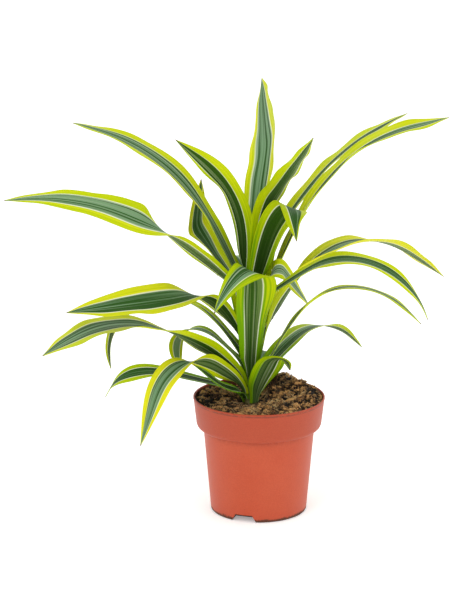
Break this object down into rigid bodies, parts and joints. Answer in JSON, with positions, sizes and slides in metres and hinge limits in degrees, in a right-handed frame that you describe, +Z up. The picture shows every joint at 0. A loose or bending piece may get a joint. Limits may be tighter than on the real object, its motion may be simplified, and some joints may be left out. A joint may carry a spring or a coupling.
{
  "type": "potted dracaena",
  "caption": "Young dracaena with long arching lime-edged leaves on a short upright stem, standing in peat in a tapered terracotta-coloured plastic nursery pot.",
  "frame": {"origin": "centre of the pot's underside", "axes": "+Z up along the pot's axis, -Y towards the front, where one drain pocket of the pot shows left of the middle"},
  "size_m": [0.3885, 0.4361, 0.3803],
  "materials": {
    "pot_plastic": "matte",
    "peat": "matte",
    "stem_bark": "matte",
    "leaf_blade": "satin"
  },
  "bodies": {
    "root": {"pot": "pot_plastic", "peat": "peat", "stem": "stem_bark", "leaf_01": "leaf_blade", "leaf_02": "leaf_blade", "leaf_03": "leaf_blade", "leaf_04": "leaf_blade", "leaf_05": "leaf_blade", "leaf_06": "leaf_blade", "leaf_07": "leaf_blade", "leaf_08": "leaf_blade", "leaf_09": "leaf_blade", "leaf_10": "leaf_blade", "leaf_11": "leaf_blade", "leaf_12": "leaf_blade", "leaf_13": "leaf_blade", "leaf_14": "leaf_blade", "leaf_15": "leaf_blade", "leaf_16": "leaf_blade", "leaf_17": "leaf_blade", "leaf_18": "leaf_blade", "leaf_19": "leaf_blade", "leaf_20": "leaf_blade", "leaf_21": "leaf_blade", "leaf_22": "leaf_blade", "leaf_23": "leaf_blade", "leaf_24": "leaf_blade", "leaf_25": "leaf_blade", "leaf_26": "leaf_blade", "leaf_27": "leaf_blade", "leaf_28": "leaf_blade"}
  },
  "joints": []
}
